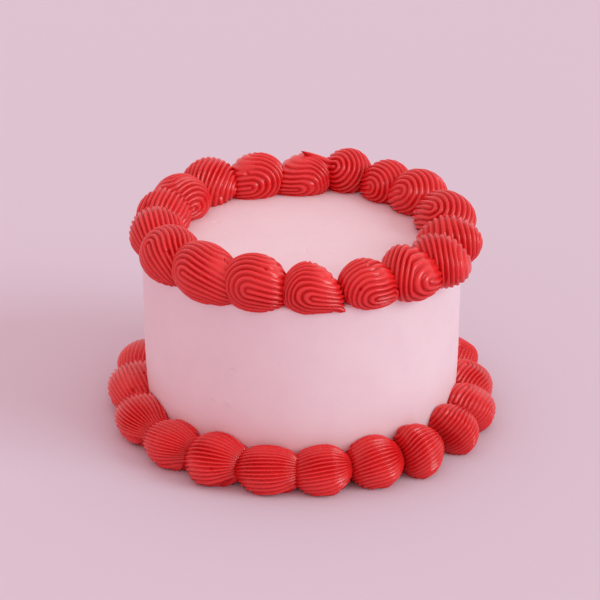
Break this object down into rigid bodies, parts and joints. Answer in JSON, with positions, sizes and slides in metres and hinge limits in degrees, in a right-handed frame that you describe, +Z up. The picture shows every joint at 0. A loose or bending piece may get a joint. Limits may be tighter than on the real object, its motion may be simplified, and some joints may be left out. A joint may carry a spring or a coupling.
{
  "type": "decorated cake",
  "caption": "Round uncut cake in smooth pink icing, with a border of red piped shells round its top edge and another round its foot.",
  "frame": {"origin": "centre of the cake's flat underside, on the surface that it stands on", "axes": "+Z up along the cake's axis, -Y towards the side that the picture shows"},
  "size_m": [0.1941, 0.1937, 0.111],
  "materials": {
    "pink_icing": "smooth pale pink buttercream, satin",
    "red_icing": "piped red buttercream, satin with soft highlights"
  },
  "bodies": {
    "root": {"cake": "pink_icing", "top_shell_01": "red_icing", "top_shell_02": "red_icing", "top_shell_03": "red_icing", "top_shell_04": "red_icing", "top_shell_05": "red_icing", "top_shell_06": "red_icing", "top_shell_07": "red_icing", "top_shell_08": "red_icing", "top_shell_09": "red_icing", "top_shell_10": "red_icing", "top_shell_11": "red_icing", "top_shell_12": "red_icing", "top_shell_13": "red_icing", "top_shell_14": "red_icing", "top_shell_15": "red_icing", "top_shell_16": "red_icing", "top_shell_17": "red_icing", "top_shell_18": "red_icing", "bottom_shell_01": "red_icing", "bottom_shell_02": "red_icing", "bottom_shell_03": "red_icing", "bottom_shell_04": "red_icing", "bottom_shell_05": "red_icing", "bottom_shell_06": "red_icing", "bottom_shell_07": "red_icing", "bottom_shell_08": "red_icing", "bottom_shell_09": "red_icing", "bottom_shell_10": "red_icing", "bottom_shell_11": "red_icing", "bottom_shell_12": "red_icing", "bottom_shell_13": "red_icing", "bottom_shell_14": "red_icing", "bottom_shell_15": "red_icing", "bottom_shell_16": "red_icing", "bottom_shell_17": "red_icing", "bottom_shell_18": "red_icing", "bottom_shell_19": "red_icing"}
  },
  "joints": []
}
